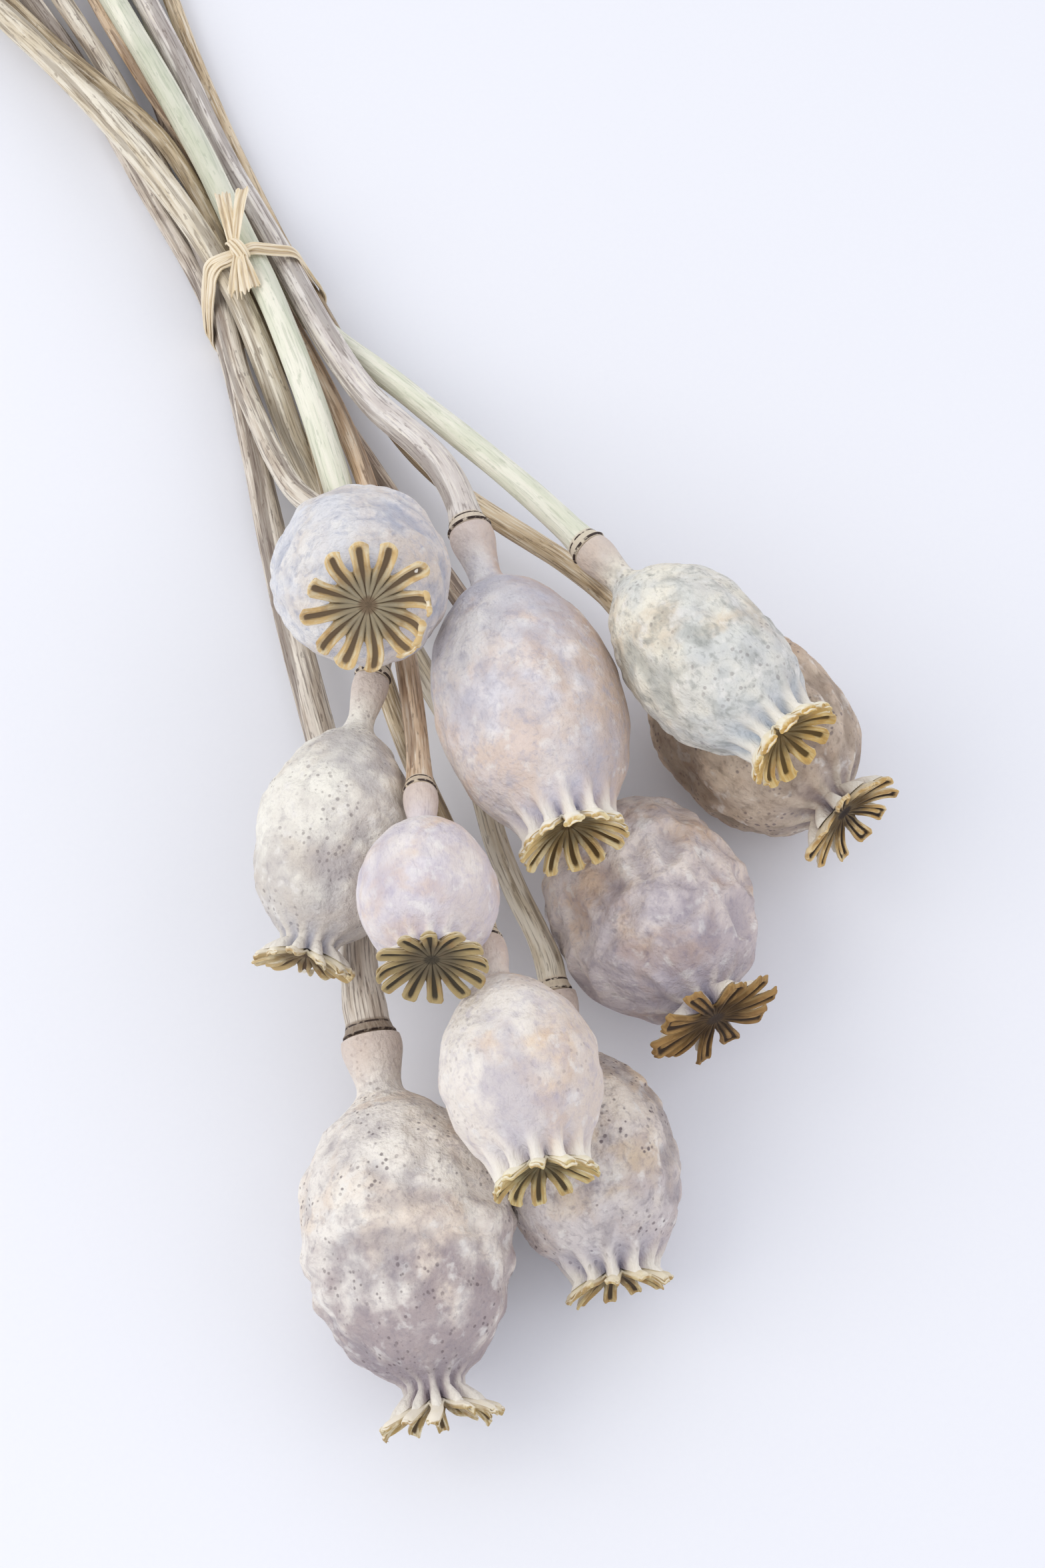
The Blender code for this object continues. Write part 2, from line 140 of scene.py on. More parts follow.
def mergeSeams(piece, distance=0.00001):
    makeActive(piece)
    bpy.ops.object.mode_set(mode="EDIT")
    bpy.ops.mesh.select_all(action="SELECT")
    bpy.ops.mesh.remove_doubles(threshold=distance)
    bpy.ops.mesh.normals_make_consistent(inside=False)
    bpy.ops.object.mode_set(mode="OBJECT")


def applyModifier(piece, kind, **settings):
    makeActive(piece)
    modifier = piece.modifiers.new(kind.title(), kind)
    for name, value in settings.items():
        setattr(modifier, name, value)
    bpy.ops.object.modifier_apply(modifier=modifier.name)


def joinPieces(pieces, name):
    makeActive(pieces[0])
    for piece in pieces:
        piece.select_set(True)
    bpy.ops.object.join()
    joined = bpy.context.object
    joined.name = name
    joined.data.name = name
    return joined


def finishPiece(piece, material, node, sharp):
    makeActive(piece)
    bpy.ops.object.shade_smooth_by_angle(angle=math.radians(sharp))
    piece.data.materials.clear()
    piece.data.materials.append(material)
    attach(piece, "root")
    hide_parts(node)


# Small tools for materials

def hexColour(text):
    # An sRGB hex value as linear colour
    channels = [int(text[place:place + 2], 16) / 255 for place in (1, 3, 5)]
    linear = [value / 12.92 if value <= 0.04045 else ((value + 0.055) / 1.055) ** 2.4
              for value in channels]
    return (*linear, 1.0)


def addNode(tree, kind, inputs=None, output=0, **settings):
    # Adds a node and gives one of its outputs. An input is a socket to link, a hex colour,
    # the name of a value that the mesh carries, or a plain value.
    node = tree.nodes.new(kind)
    for name, value in settings.items():
        setattr(node, name, value)
    for name, value in (inputs or {}).items():
        if isinstance(value, str) and value.startswith("#"):
            value = hexColour(value)
        elif isinstance(value, str):
            value = addNode(tree, "ShaderNodeAttribute", output="Fac", attribute_name=value)
        if isinstance(value, bpy.types.NodeSocket):
            tree.links.new(value, node.inputs[name])
        else:
            node.inputs[name].default_value = value
    return node.outputs[output]


def newMaterial(name):
    material = bpy.data.materials.new(name)
    material.use_nodes = True
    tree = material.node_tree
    return material, tree, tree.nodes["Principled BSDF"]


def plantMaterial(name):
    # A new material, and the coordinates in millimetres that the mesh carries as skin
    material, tree, shader = newMaterial(name)
    skin = addNode(tree, "ShaderNodeAttribute", output="Vector", attribute_name="skin")
    return material, tree, shader, skin


def mottle(tree, vector, size, seed, detail=3.0, stretch=(1, 1, 1), distortion=0.0):
    # Noise on millimetre coordinates, its lumps about one size apart
    mapped = addNode(tree, "ShaderNodeMapping", {
        "Vector": vector, "Scale": [1 / (size * part) for part in stretch],
        "Location": (seed * 3.7, seed * 1.9, seed * 2.3)})
    return addNode(tree, "ShaderNodeTexNoise", {
        "Vector": mapped, "Scale": 1.0, "Detail": detail, "Roughness": 0.55,
        "Distortion": distortion}, output="Fac")


def paintOver(tree, under, colour, mask, low=None, high=None, most=1.0, within=None):
    # Lays a colour over the one below, as strongly as the mask says. With low and high, the
    # strength eases from none at low to most at high, and within is a second mask.
    if low is not None:
        mask = addNode(tree, "ShaderNodeMapRange", {
            "Value": mask, "From Min": low, "From Max": high, "To Min": 0.0, "To Max": most},
            interpolation_type="SMOOTHSTEP")
        most = 1.0
    for factor in (most, within):
        if factor not in (None, 1.0):
            mask = addNode(tree, "ShaderNodeMath", {0: mask, 1: factor}, operation="MULTIPLY")
    return addNode(tree, "ShaderNodeMix", {0: mask, 6: under, 7: colour}, output=2, data_type="RGBA")


def finishSurface(tree, shader, colour, rough, height, strength, depth):
    # Colour, roughness and fine relief, on a shader with the usual IOR of plant matter
    relief = addNode(tree, "ShaderNodeBump", {
        "Height": height, "Strength": strength, "Distance": depth}, output="Normal")
    shader.inputs["IOR"].default_value = 1.45
    tree.links.new(colour, shader.inputs["Base Color"])
    tree.links.new(relief, shader.inputs["Normal"])
    if isinstance(rough, float):
        shader.inputs["Roughness"].default_value = rough
    else:
        tree.links.new(rough, shader.inputs["Roughness"])


# What the solids say about each stalk

def solidMesh(node):
    shape = bmesh.new()
    shape.from_mesh(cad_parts[node].data)
    bmesh.ops.remove_doubles(shape, verts=shape.verts, dist=0.000001)
    shape.verts.index_update()
    return shape


def solidPoints(node):
    shape = solidMesh(node)
    points = np.array([vertex.co for vertex in shape.verts])
    shape.free()
    return points


def solidRings(node, start, sides):
    # The rings of a turned or swept solid, in order from the end nearest to start
    shape = solidMesh(node)
    left = set(shape.verts)
    ring = sorted(shape.verts, key=lambda vertex: (vertex.co - Vector(start)).length)[:sides]
    rings = []
    while ring:
        ring = sorted(ring, key=lambda vertex: vertex.index)
        rings.append(np.array([vertex.co for vertex in ring]))
        left.difference_update(ring)
        ring = list({edge.other_vert(vertex) for vertex in ring for edge in vertex.link_edges} & left)
    shape.free()
    return rings


def curveThrough(knots, values, places):
    # A cubic curve through the values, with even slopes at the knots
    knots = np.asarray(knots, dtype=float)
    values = np.asarray(values, dtype=float)
    flat = values.ndim == 1
    if flat:
        values = values[:, None]
    slopes = np.gradient(values, knots, axis=0)
    index = np.clip(np.searchsorted(knots, places, side="right") - 1, 0, len(knots) - 2)
    span = (knots[index + 1] - knots[index])[:, None]
    part = (np.asarray(places)[:, None] - knots[index][:, None]) / span
    made = (2 * part ** 3 - 3 * part ** 2 + 1) * values[index]
    made += (part ** 3 - 2 * part ** 2 + part) * span * slopes[index]
    made += (3 * part ** 2 - 2 * part ** 3) * values[index + 1]
    made += (part ** 3 - part ** 2) * span * slopes[index + 1]
    return made[:, 0] if flat else made


def measureRings(rings, centres):
    # The rings' radii, and how far along the line of their centres each one lies
    radii = np.array([
        np.linalg.norm(ring - centre, axis=1).mean() for ring, centre in zip(rings, centres)])
    steps = np.linalg.norm(np.diff(centres, axis=0), axis=1)
    return radii, np.concatenate([[0.0], np.cumsum(steps)])


class Head:
    # One head's axes and sizes in metres. The crown's foot is at height 0, the ring is below it.
    def __init__(self, letter):
        crown = solidPoints("crown_" + letter)
        middle = crown.mean(axis=0)
        axes = np.linalg.svd(crown - middle)[2]
        forward = axes[2]
        if (middle - solidPoints("capsule_" + letter).mean(axis=0)) @ forward < 0:
            forward = -forward
        side = np.cross(up, forward)
        self.side = side / np.linalg.norm(side)
        self.rise = np.cross(forward, self.side)
        self.forward = forward
        self.foot = middle + forward * ((crown - middle) @ forward).min()
        outward = self.toLocal(crown)
        spread = np.hypot(outward[:, 0], outward[:, 1])
        self.crownRadius = spread.max()
        self.rays = int((spread > 0.985 * self.crownRadius).sum())
        body = solidPoints("capsule_" + letter)
        heights = (body - self.foot) @ forward
        sides = 2 * self.rays
        start = body[np.argsort(heights)[:sides]].mean(axis=0)
        rings = [ring for ring in solidRings("capsule_" + letter, start, sides) if len(ring) == sides]
        self.centres = np.array([ring.mean(axis=0) for ring in rings])
        self.centres[-1] = self.foot - 0.3 * mm * forward
        self.radii, self.along = measureRings(rings, self.centres)
        self.ringPoint = self.centres[0]
        self.length = self.along[-1]

    def toLocal(self, points):
        return (points - self.foot) @ np.array([self.side, self.rise, self.forward]).T

    def toWorld(self, points):
        return self.foot + points @ np.array([self.side, self.rise, self.forward])


heads = {letter: Head(letter) for letter in letters}
print("heads read:", {letter: heads[letter].rays for letter in letters})


# Crowns. Start and end are the slope of a lobe at the hub and at its tip, in degrees, positive away
# from the capsule. Notch is where the lobes part, as a share of the crown's radius. Past it, width
# is the share of its sector that a lobe keeps, and flare widens it towards the tip. Square is how
# blunt the tips are, wild how uneven the lobes are, and thick their thickness in millimetres. Twin
# lobes have a pale ridge between two dark lines, and curled ones bend forward by so many degrees
# more. The colours are those of the rims, the grooves, the slopes, the middle and the underside.
crownLooks = {
    "a": {"flare": 0.16, "start": 4, "end": 20, "notch": 0.5, "width": 0.97, "square": 0.35,
          "wild": 1.0, "thick": 0.9, "curled": {0: 62, 11: 80, 10: 48}, "rim": "#D8BA84",
          "groove": "#75634D", "side": "#E4D6B4", "inner": "#857D6A", "under": "#EDE3CB"},
    "b": {"flare": 0.12, "start": 10, "end": 46, "notch": 0.55, "width": 0.97, "square": 0.2,
          "wild": 0.5, "thick": 1.0, "rim": "#DABD80", "groove": "#54401F", "side": "#EBDCB0",
          "inner": "#4A3A20", "under": "#F5F0E2"},
    "c": {"flare": 0.12, "start": 10, "end": 44, "notch": 0.6, "width": 0.97, "square": 0.3,
          "wild": 0.6, "thick": 1.0, "rim": "#D0AC66", "groove": "#5E4A25", "side": "#E2CB92",
          "inner": "#4C3B1F", "under": "#F3EDD9"},
    "d": {"flare": 0.4, "start": 10, "end": 22, "notch": 0.4, "width": 0.9, "square": 0.5, "twin": 1,
          "wild": 0.9, "thick": 0.62, "rim": "#C7A367", "groove": "#2E2118", "side": "#E8D3A6",
          "inner": "#38291B", "under": "#DDD0B6"},
    "e": {"flare": 0.1, "start": 8, "end": 30, "notch": 0.5, "width": 0.84, "square": 0.3,
          "wild": 1.4, "thick": 0.7, "curled": {8: -40, 9: -55}, "rim": "#C2A878",
          "groove": "#5A4733", "side": "#E9DCB8", "inner": "#5E4A32", "under": "#F2EAD6"},
    "f": {"flare": 0.1, "start": 6, "end": 24, "notch": 0.55, "width": 0.94, "square": 0.4,
          "wild": 0.9, "thick": 0.9, "rim": "#A8946A", "groove": "#473F31", "side": "#B5A071",
          "inner": "#544C3F", "under": "#D6C7A6"},
    "g": {"flare": 0.1, "start": 10, "end": 38, "notch": 0.52, "width": 0.9, "square": 0.4,
          "wild": 0.9, "thick": 0.9, "rim": "#C6AA70", "groove": "#50432A", "side": "#DECF9C",
          "inner": "#42371F", "under": "#F1EAD3"},
    "h": {"flare": 0.55, "start": 6, "end": 2, "notch": 0.34, "width": 0.93, "square": 0.85,
          "twin": 1, "wild": 0.8, "thick": 0.7, "rim": "#8A6A3E", "groove": "#3A2A1B",
          "side": "#AE8A54", "inner": "#3A2A19", "under": "#B79A68"},
    "i": {"flare": 0.1, "start": 10, "end": 34, "notch": 0.5, "width": 0.86, "square": 0.5,
          "wild": 1.0, "thick": 0.7, "rim": "#B0925F", "groove": "#4A3C2B", "side": "#D8C796",
          "inner": "#44372A", "under": "#F0E6CC"},
    "j": {"flare": 0.0, "start": 12, "end": 36, "notch": 0.48, "width": 0.82, "square": 0.15,
          "wild": 1.3, "thick": 0.7, "rim": "#AE9460", "groove": "#5C4A32", "side": "#EADFC0",
          "inner": "#5E4D36", "under": "#F3EBDA"},
}


lobeHeight = 1.15  # How far the lobes stand above the crown's foot, in millimetres


def lobeCurve(look, extra=0.0):
    # Run and climb from the hub to the tip of a lobe, as shares of the crown's radius
    steps = np.linspace(0, 1, 60)
    bend = look["start"] + (look["end"] - look["start"]) * steps ** 1.3
    plain = np.radians(0.5 * (bend[1:] + bend[:-1]))
    curled = plain + math.radians(extra) * easeStep(steps[1:], look["notch"], 1.05)
    total = np.cos(plain).sum()
    run = np.concatenate([[0], np.cumsum(np.cos(curled))]) / total
    climb = np.concatenate([[0], np.cumsum(np.sin(curled))]) / total
    return steps, run, climb


# Capsules. Webs is how far the ribs under the crown reach down, as a share of the crown's radius.
# Neck is the neck's radius, foldSize the distance between folds, and lump, fold, wrinkle and rib
# are depths of relief, all in millimetres. Stretch draws wrinkles and grain out lengthwise. The side
# value is how strongly painted shade browns the lower right side, away from the light, low is the
# tone near the crown, and the hollow value is the colour of the painted shade in the hollows under
# the crown.
capsuleLooks = {
    "a": {"webs": 0.36, "neck": 3.0, "lump": 0.5, "fold": 0.3, "foldSize": 8, "wrinkle": 0.26,
          "stretch": 0.4, "rib": 0.15, "base": "#F6F4F2", "second": "#E9EAEF", "blotch": "#9DA4BA",
          "blotchAmount": 0.5, "patch": "#DCCCBC", "patchAmount": 0.5, "speck": 0.15,
          "low": "#DED7D0", "lowAmount": 0.2, "warm": 0.4, "dip": "#BAC2D4"},
    "b": {"webs": 0.42, "neck": 3.05, "lump": 0.45, "fold": 0.25, "foldSize": 10, "wrinkle": 0.14,
          "stretch": 1.2, "rib": 0.1, "base": "#F2EEEC", "second": "#E4E1E6", "blotch": "#B2B0BE",
          "blotchAmount": 0.6, "patch": "#E6CFBE", "patchAmount": 0.7, "speck": 0.12,
          "low": "#D2BFB2", "lowAmount": 0.5, "warm": 0.85, "dip": "#C0C3DA"},
    "c": {"webs": 0.46, "neck": 2.6, "lump": 0.35, "fold": 0.35, "foldSize": 5.5, "wrinkle": 0.2,
          "stretch": 1.8, "rib": 0.35, "base": "#F3EFE0", "second": "#E0E1DB", "blotch": "#91948F",
          "blotchAmount": 0.7, "patch": "#DCC8AC", "patchAmount": 0.6, "speck": 0.4,
          "low": "#BCC0C6", "lowAmount": 0.4, "warm": 0.15, "dip": "#B6C4D6"},
    "d": {"webs": 0.6, "neck": 2.7, "lump": 0.5, "fold": 0.35, "foldSize": 5, "wrinkle": 0.4,
          "stretch": 1.8, "rib": 0.3, "base": "#E4D1BA", "second": "#D2BEA8", "blotch": "#7E6C5D",
          "blotchAmount": 0.6, "patch": "#B5967A", "patchAmount": 0.65, "speck": 0.7,
          "low": "#A89A90", "lowAmount": 0.4, "warm": 0.3, "dip": "#8F8A9A"},
    "e": {"webs": 0.48, "neck": 2.4, "lump": 0.5, "fold": 0.4, "foldSize": 5, "wrinkle": 0.2,
          "stretch": 1.0, "rib": 0.3, "base": "#F8F5EA", "second": "#F2EEE4", "blotch": "#A29CA2",
          "blotchAmount": 0.36, "patch": "#CDB79A", "patchAmount": 0.25, "speck": 0.5,
          "low": "#A89C9C", "lowAmount": 0.45, "warm": 0.2, "dip": "#A8ADC0"},
    "f": {"webs": 0.36, "neck": 2.2, "lump": 0.3, "fold": 0.25, "foldSize": 8, "wrinkle": 0.1,
          "stretch": 2.6, "rib": 0.35, "base": "#F1EAE5", "second": "#E6E0E4", "blotch": "#B8B1C4",
          "blotchAmount": 0.55, "patch": "#E8CCB2", "patchAmount": 0.75, "speck": 0.08,
          "low": "#C9C0C8", "lowAmount": 0.35, "warm": 0.4, "dip": "#B9B5C8"},
    "g": {"webs": 0.4, "neck": 2.2, "lump": 0.4, "fold": 0.3, "foldSize": 6, "wrinkle": 0.14,
          "stretch": 1.3, "rib": 0.12, "base": "#F6F0E8", "second": "#EFE8DF", "blotch": "#B5AEBC",
          "blotchAmount": 0.5, "patch": "#E8C8A4", "patchAmount": 0.7, "speck": 0.25,
          "low": "#DCCFC8", "lowAmount": 0.3, "warm": 0.5, "dip": "#C8C6D2"},
    "h": {"webs": 0.58, "neck": 2.7, "lump": 1.3, "fold": 1.7, "foldSize": 9, "wrinkle": 0.2,
          "stretch": 1.0, "rib": 0.3, "base": "#F4E9E0", "second": "#E4DAD8", "blotch": "#8C8496",
          "blotchAmount": 0.5, "patch": "#D9B999", "patchAmount": 0.75, "speck": 0.25,
          "low": "#9890A2", "lowAmount": 0.5, "warm": 0.35, "dip": "#9C9AAE"},
    "i": {"webs": 0.45, "neck": 2.7, "lump": 0.6, "fold": 0.55, "foldSize": 5.5, "wrinkle": 0.22,
          "stretch": 1.0, "rib": 0.35, "base": "#F1E8DC", "second": "#E4DBD0", "blotch": "#7E757E",
          "blotchAmount": 0.58, "patch": "#D6BC9A", "patchAmount": 0.65, "speck": 0.9,
          "low": "#B0AABA", "lowAmount": 0.45, "warm": 0.3, "dip": "#A0A0B6"},
    "j": {"webs": 0.55, "neck": 3.9, "lump": 0.8, "fold": 0.7, "foldSize": 9, "wrinkle": 0.24,
          "stretch": 1.0, "rib": 0.3, "base": "#FAF5EC", "second": "#F4EEE6", "blotch": "#938A92",
          "blotchAmount": 0.52, "patch": "#DEBF9F", "patchAmount": 0.35, "speck": 0.7,
          "low": "#A29295", "lowAmount": 0.85, "warm": 0.2, "dip": "#ADA5B0"},
}


# The first tint is that of the painted shade on the side away from the light
capsuleTints = {
    "brownSide": "#C9AD98", "bloom": "#F4F1EC", "speck": "#6B5F62", "neck": "#D5C2B6",
    "web": "#F7F2E6",
}


def capsuleMaterial(letter, look, seed):
    # Dried capsule wall, a thin woody shell with a dull waxy bloom: matt, chalky and weathered
    material, tree, shader, skin = plantMaterial("driedCapsuleWall" + letter.upper())
    colour = paintOver(tree, look["base"], look["second"], mottle(tree, skin, 10, seed), 0.4, 0.6)
    patches = mottle(tree, skin, 12, seed + 2, 4.0, distortion=0.4)
    colour = paintOver(tree, colour, look["patch"], patches, 0.48, 0.66, look["patchAmount"])
    # Painted shade, brownish, on the side away from the light, and the darker end near the crown,
    # both with uneven borders
    uneven = mottle(tree, skin, 6, seed + 5, 4.0)
    for carried, low, high, tint, most in (
            ("warm", 0.75, 1.35, capsuleTints["brownSide"], look["warm"]),
            ("rise", 1.02, 1.4, look["low"], look["lowAmount"])):
        mask = addNode(tree, "ShaderNodeMath", {0: carried, 1: uneven}, operation="ADD")
        colour = paintOver(tree, colour, tint, mask, low, high, most)
    # Dapples of three sizes, up to a few millimetres long
    grain = (1, 1, look["stretch"] ** 0.5)
    for size, shift, share in ((4.5, 3, 0.7), (2.2, 4, 0.75), (1.1, 9, 0.6)):
        dapples = mottle(tree, skin, size, seed + shift, 4.0, grain, distortion=0.5)
        strength = share * look["blotchAmount"]
        colour = paintOver(tree, colour, look["blotch"], dapples, 0.52, 0.72, strength)
    bloom = mottle(tree, skin, 3.2, seed + 6)
    colour = paintOver(tree, colour, capsuleTints["bloom"], bloom, 0.56, 0.7, 0.5)
    # Painted shade in the dents of the relief, in the dapples' colour
    colour = paintOver(tree, colour, look["blotch"], "dent", 0.1, 0.8, 0.5)
    # Round specks of dried latex and mildew, under a millimetre across, gathered in drifts
    drifts = addNode(tree, "ShaderNodeMapRange", {
        "Value": mottle(tree, skin, 10, seed + 7), "From Min": 0.44, "From Max": 0.6},
        interpolation_type="SMOOTHSTEP")
    spots = addNode(tree, "ShaderNodeTexVoronoi", {"Vector": skin, "Scale": 0.7}, output="Distance")
    sizes = mottle(tree, skin, 2.5, seed + 8, 2.0)
    edges = addNode(tree, "ShaderNodeMath", {0: sizes, 1: -0.42, 2: spots}, operation="MULTIPLY_ADD")
    colour = paintOver(
        tree, colour, capsuleTints["speck"], edges, 0.08, -0.06, look["speck"], within=drifts)
    colour = paintOver(tree, colour, capsuleTints["neck"], "fromRing", 12, 2, 0.7)
    # Painted shade in the hollows between the webs under the crown
    colour = paintOver(tree, colour, look["dip"], "hollow", most=0.75)
    colour = paintOver(tree, colour, capsuleTints["web"], "crest")
    fine = mottle(tree, skin, 0.8, seed + 11, 5.0, (1, 1, look["stretch"]))
    coarse = mottle(tree, skin, 2.6, seed + 12, 4.0, (1, 1, look["stretch"]))
    height = addNode(tree, "ShaderNodeMath", {0: fine, 1: 0.45, 2: coarse}, operation="MULTIPLY_ADD")
    rough = addNode(tree, "ShaderNodeMapRange", {"Value": coarse, "To Min": 0.62, "To Max": 0.86})
    finishSurface(tree, shader, colour, rough, height, 0.9, 0.001)
    return material


def capsuleProfile(head, look, places):
    # Centre line and radius along a capsule, from the ring to the crown
    centres = curveThrough(head.along, head.centres, places)
    radii = head.radii.copy()
    radii[0] = radii[1]
    body = np.maximum(curveThrough(head.along, radii, places), look["neck"] * mm * 0.8)
    collar = look["neck"] * mm * (1 + 0.5 * bump(places / mm, 1.6, 4.6))
    return centres, (body ** 6 + collar ** 6) ** (1 / 6) * 0.985


def makeCapsule(letter):
    head = heads[letter]
    look = capsuleLooks[letter]
    seed = 1 + letters.index(letter)
    rays = head.rays
    along = 112
    piece, grid = addSheet("capsule" + letter.upper(), 16 * rays, along)
    turn = math.tau * grid[:, 0]
    row = np.round(grid[:, 1] * along).astype(int)
    # Rows lie closer near both ends, and the first and last rows close the ends
    share = np.clip((grid[:, 1] * along - 3) / (along - 8), 0, 1)
    share = share + 0.05 * np.sin(math.tau * share)
    places = share * head.length
    closing = np.ones(along + 1)
    closing[:3] = (0.0, 0.8, 0.97)
    closing[-5:] = (0.98, 0.9, 0.7, 0.35, 0.0)
    centres, radii = capsuleProfile(head, look, places)
    local = head.toLocal(centres)
    # The slope of the centre line, which tilts the rings of a drooping neck
    ahead = head.toLocal(capsuleProfile(head, look, np.minimum(places + 0.2 * mm, head.length))[0])
    behind = head.toLocal(capsuleProfile(head, look, np.maximum(places - 0.2 * mm, 0))[0])
    slope = np.arctan2((ahead - behind)[:, 1], (ahead - behind)[:, 2])
    height = local[:, 2]
    crown = head.crownRadius
    # Webs: ribs run up under the crown's lobes, growing broad there, with hollows between them
    rayWaves = np.cos(rays * turn)
    nearTop = easeStep(height, -look["webs"] * crown, -0.02 * crown)
    crestShape = (0.5 + 0.5 * rayWaves) ** (2.8 - 2.2 * nearTop)
    crestRadius = np.maximum(radii, crown * (0.86 * nearTop ** 1.8))
    notchRadius = 0.9 * crownLooks[letter]["notch"] * crown
    hollowRadius = radii + np.minimum(notchRadius - radii, 0) * nearTop ** 2.2
    radii = hollowRadius + (crestRadius - hollowRadius) * crestShape
    bodyPart = easeStep(places, 0.3 * head.length, 0.5 * head.length)
    ribs = bodyPart * look["rib"] * mm * (0.4 + 0.6 * nearTop) * rayWaves
    radii = radii + ribs * (0.6 + 0.4 * np.cos(3 * turn + seed))
    spoke = np.stack([np.cos(turn), np.sin(turn), np.zeros(len(turn))], axis=1)
    skin = (spoke * radii[:, None] + height[:, None] * (0, 0, 1)) / mm
    lump = noiseAt(skin, 15, seed)
    wrinkles = noiseAt(skin * (1, 1, 1 / look["stretch"]), 3.2, seed + 20)
    creases = creasesAt(skin, look["foldSize"], seed)
    folds = easeStep(creases, 0.0, 0.5)
    free = easeStep(places / mm, 6, 16) * (1 - 0.7 * nearTop)
    if letter == "h":
        # Sunken panels between raised veins
        relief = look["fold"] * (0.35 - folds)
    else:
        relief = look["fold"] * (folds - 0.65)
    if letter == "j":
        # A dented seam runs round the largest head, and the part beyond it is drawn in
        seam = places / head.length - 0.63 - 0.02 * np.sin(2 * turn + 1) - 0.012 * np.sin(5 * turn)
        relief = relief - 0.8 * bump(seam, 0, 0.022) + 0.5 * bump(seam, -0.06, 0.03)
        radii = radii - 0.9 * mm * easeStep(seam, -0.02, 0.1)
    relief = (look["lump"] * lump * 1.4 + relief + look["wrinkle"] * wrinkles * 1.5) * free
    # How deep each point lies in a dent, which the material darkens as painted shade
    dent = np.clip(-relief / (0.25 + look["fold"] + look["lump"]), 0, 1)
    radii = (radii + relief * mm) * closing[row]
    rise = radii * np.sin(turn)
    points = np.stack([
        local[:, 0] + radii * np.cos(turn),
        local[:, 1] + rise * np.cos(slope),
        height - rise * np.sin(slope)], axis=1)
    # The top follows the underside of the crown
    run, climb = lobeCurve(crownLooks[letter])[1:]
    points[:, 2] += nearTop ** 2 * (0.35 * mm + crown * np.interp(radii / crown, run, climb))
    placed = head.toWorld(points)
    placed[:, 2] = np.maximum(placed[:, 2], lowest)
    writePoints(piece.data, placed)
    # The side value grows towards the side away from the light, where the material paints shade
    storeValues(
        piece.data, skin=skin, rise=share, fromRing=places / mm,
        warm=0.5 + 0.5 * np.cos(turn + math.radians(20)), dent=dent,
        hollow=nearTop * (1 - crestShape) ** 1.5,
        crest=nearTop ** 2.5 * easeStep(crestShape, 0.3, 0.8))
    mergeSeams(piece)
    finishPiece(piece, capsuleMaterial(letter, look, seed), "capsule_" + letter, 60)


for letter in letters:
    makeCapsule(letter)
print("capsules made")


# A stain colour, and the painted shade in the valleys between the lobes near the hub
crownTints = {"stain": "#A98250", "gap": "#4F3D29"}


def crownMaterial(letter, look, seed):
    # Dried stigma tissue: woody ochre rims with dull dark velvet in the grooves, pale below
    material, tree, shader, skin = plantMaterial("driedStigma" + letter.upper())
    streak = mottle(tree, skin, 0.6, seed + 3, 4.0, stretch=(5, 1, 1))
    wander = addNode(tree, "ShaderNodeMapRange", {"Value": streak, "To Min": 0.5, "To Max": 1.5})
    colour = paintOver(tree, look["rim"], look["side"], streak, 0.42, 0.62, 0.85)
    stain = mottle(tree, skin, 3.5, seed + 1)
    colour = paintOver(tree, colour, crownTints["stain"], stain, 0.5, 0.66, 0.5)
    # The middle: its own darker tone, with painted shade in the sunken cup
    colour = paintOver(tree, colour, look["inner"], "inner", most=0.85)
    # The lobes' dark grooves, and painted shade in the valleys between the lobes
    for carried, high, tint, most in (
            ("groove", 0.75, look["groove"], 1.0), ("gap", 0.8, crownTints["gap"], 0.8)):
        mask = addNode(tree, "ShaderNodeMath", {0: carried, 1: wander}, operation="MULTIPLY")
        colour = paintOver(tree, colour, tint, mask, 0.2, high, most)
    under = paintOver(tree, look["under"], look["side"], streak, 0.46, 0.7, 0.5)
    colour = paintOver(tree, colour, under, "below")
    finishSurface(tree, shader, colour, 0.82, streak, 0.6, 0.0003)
    return material


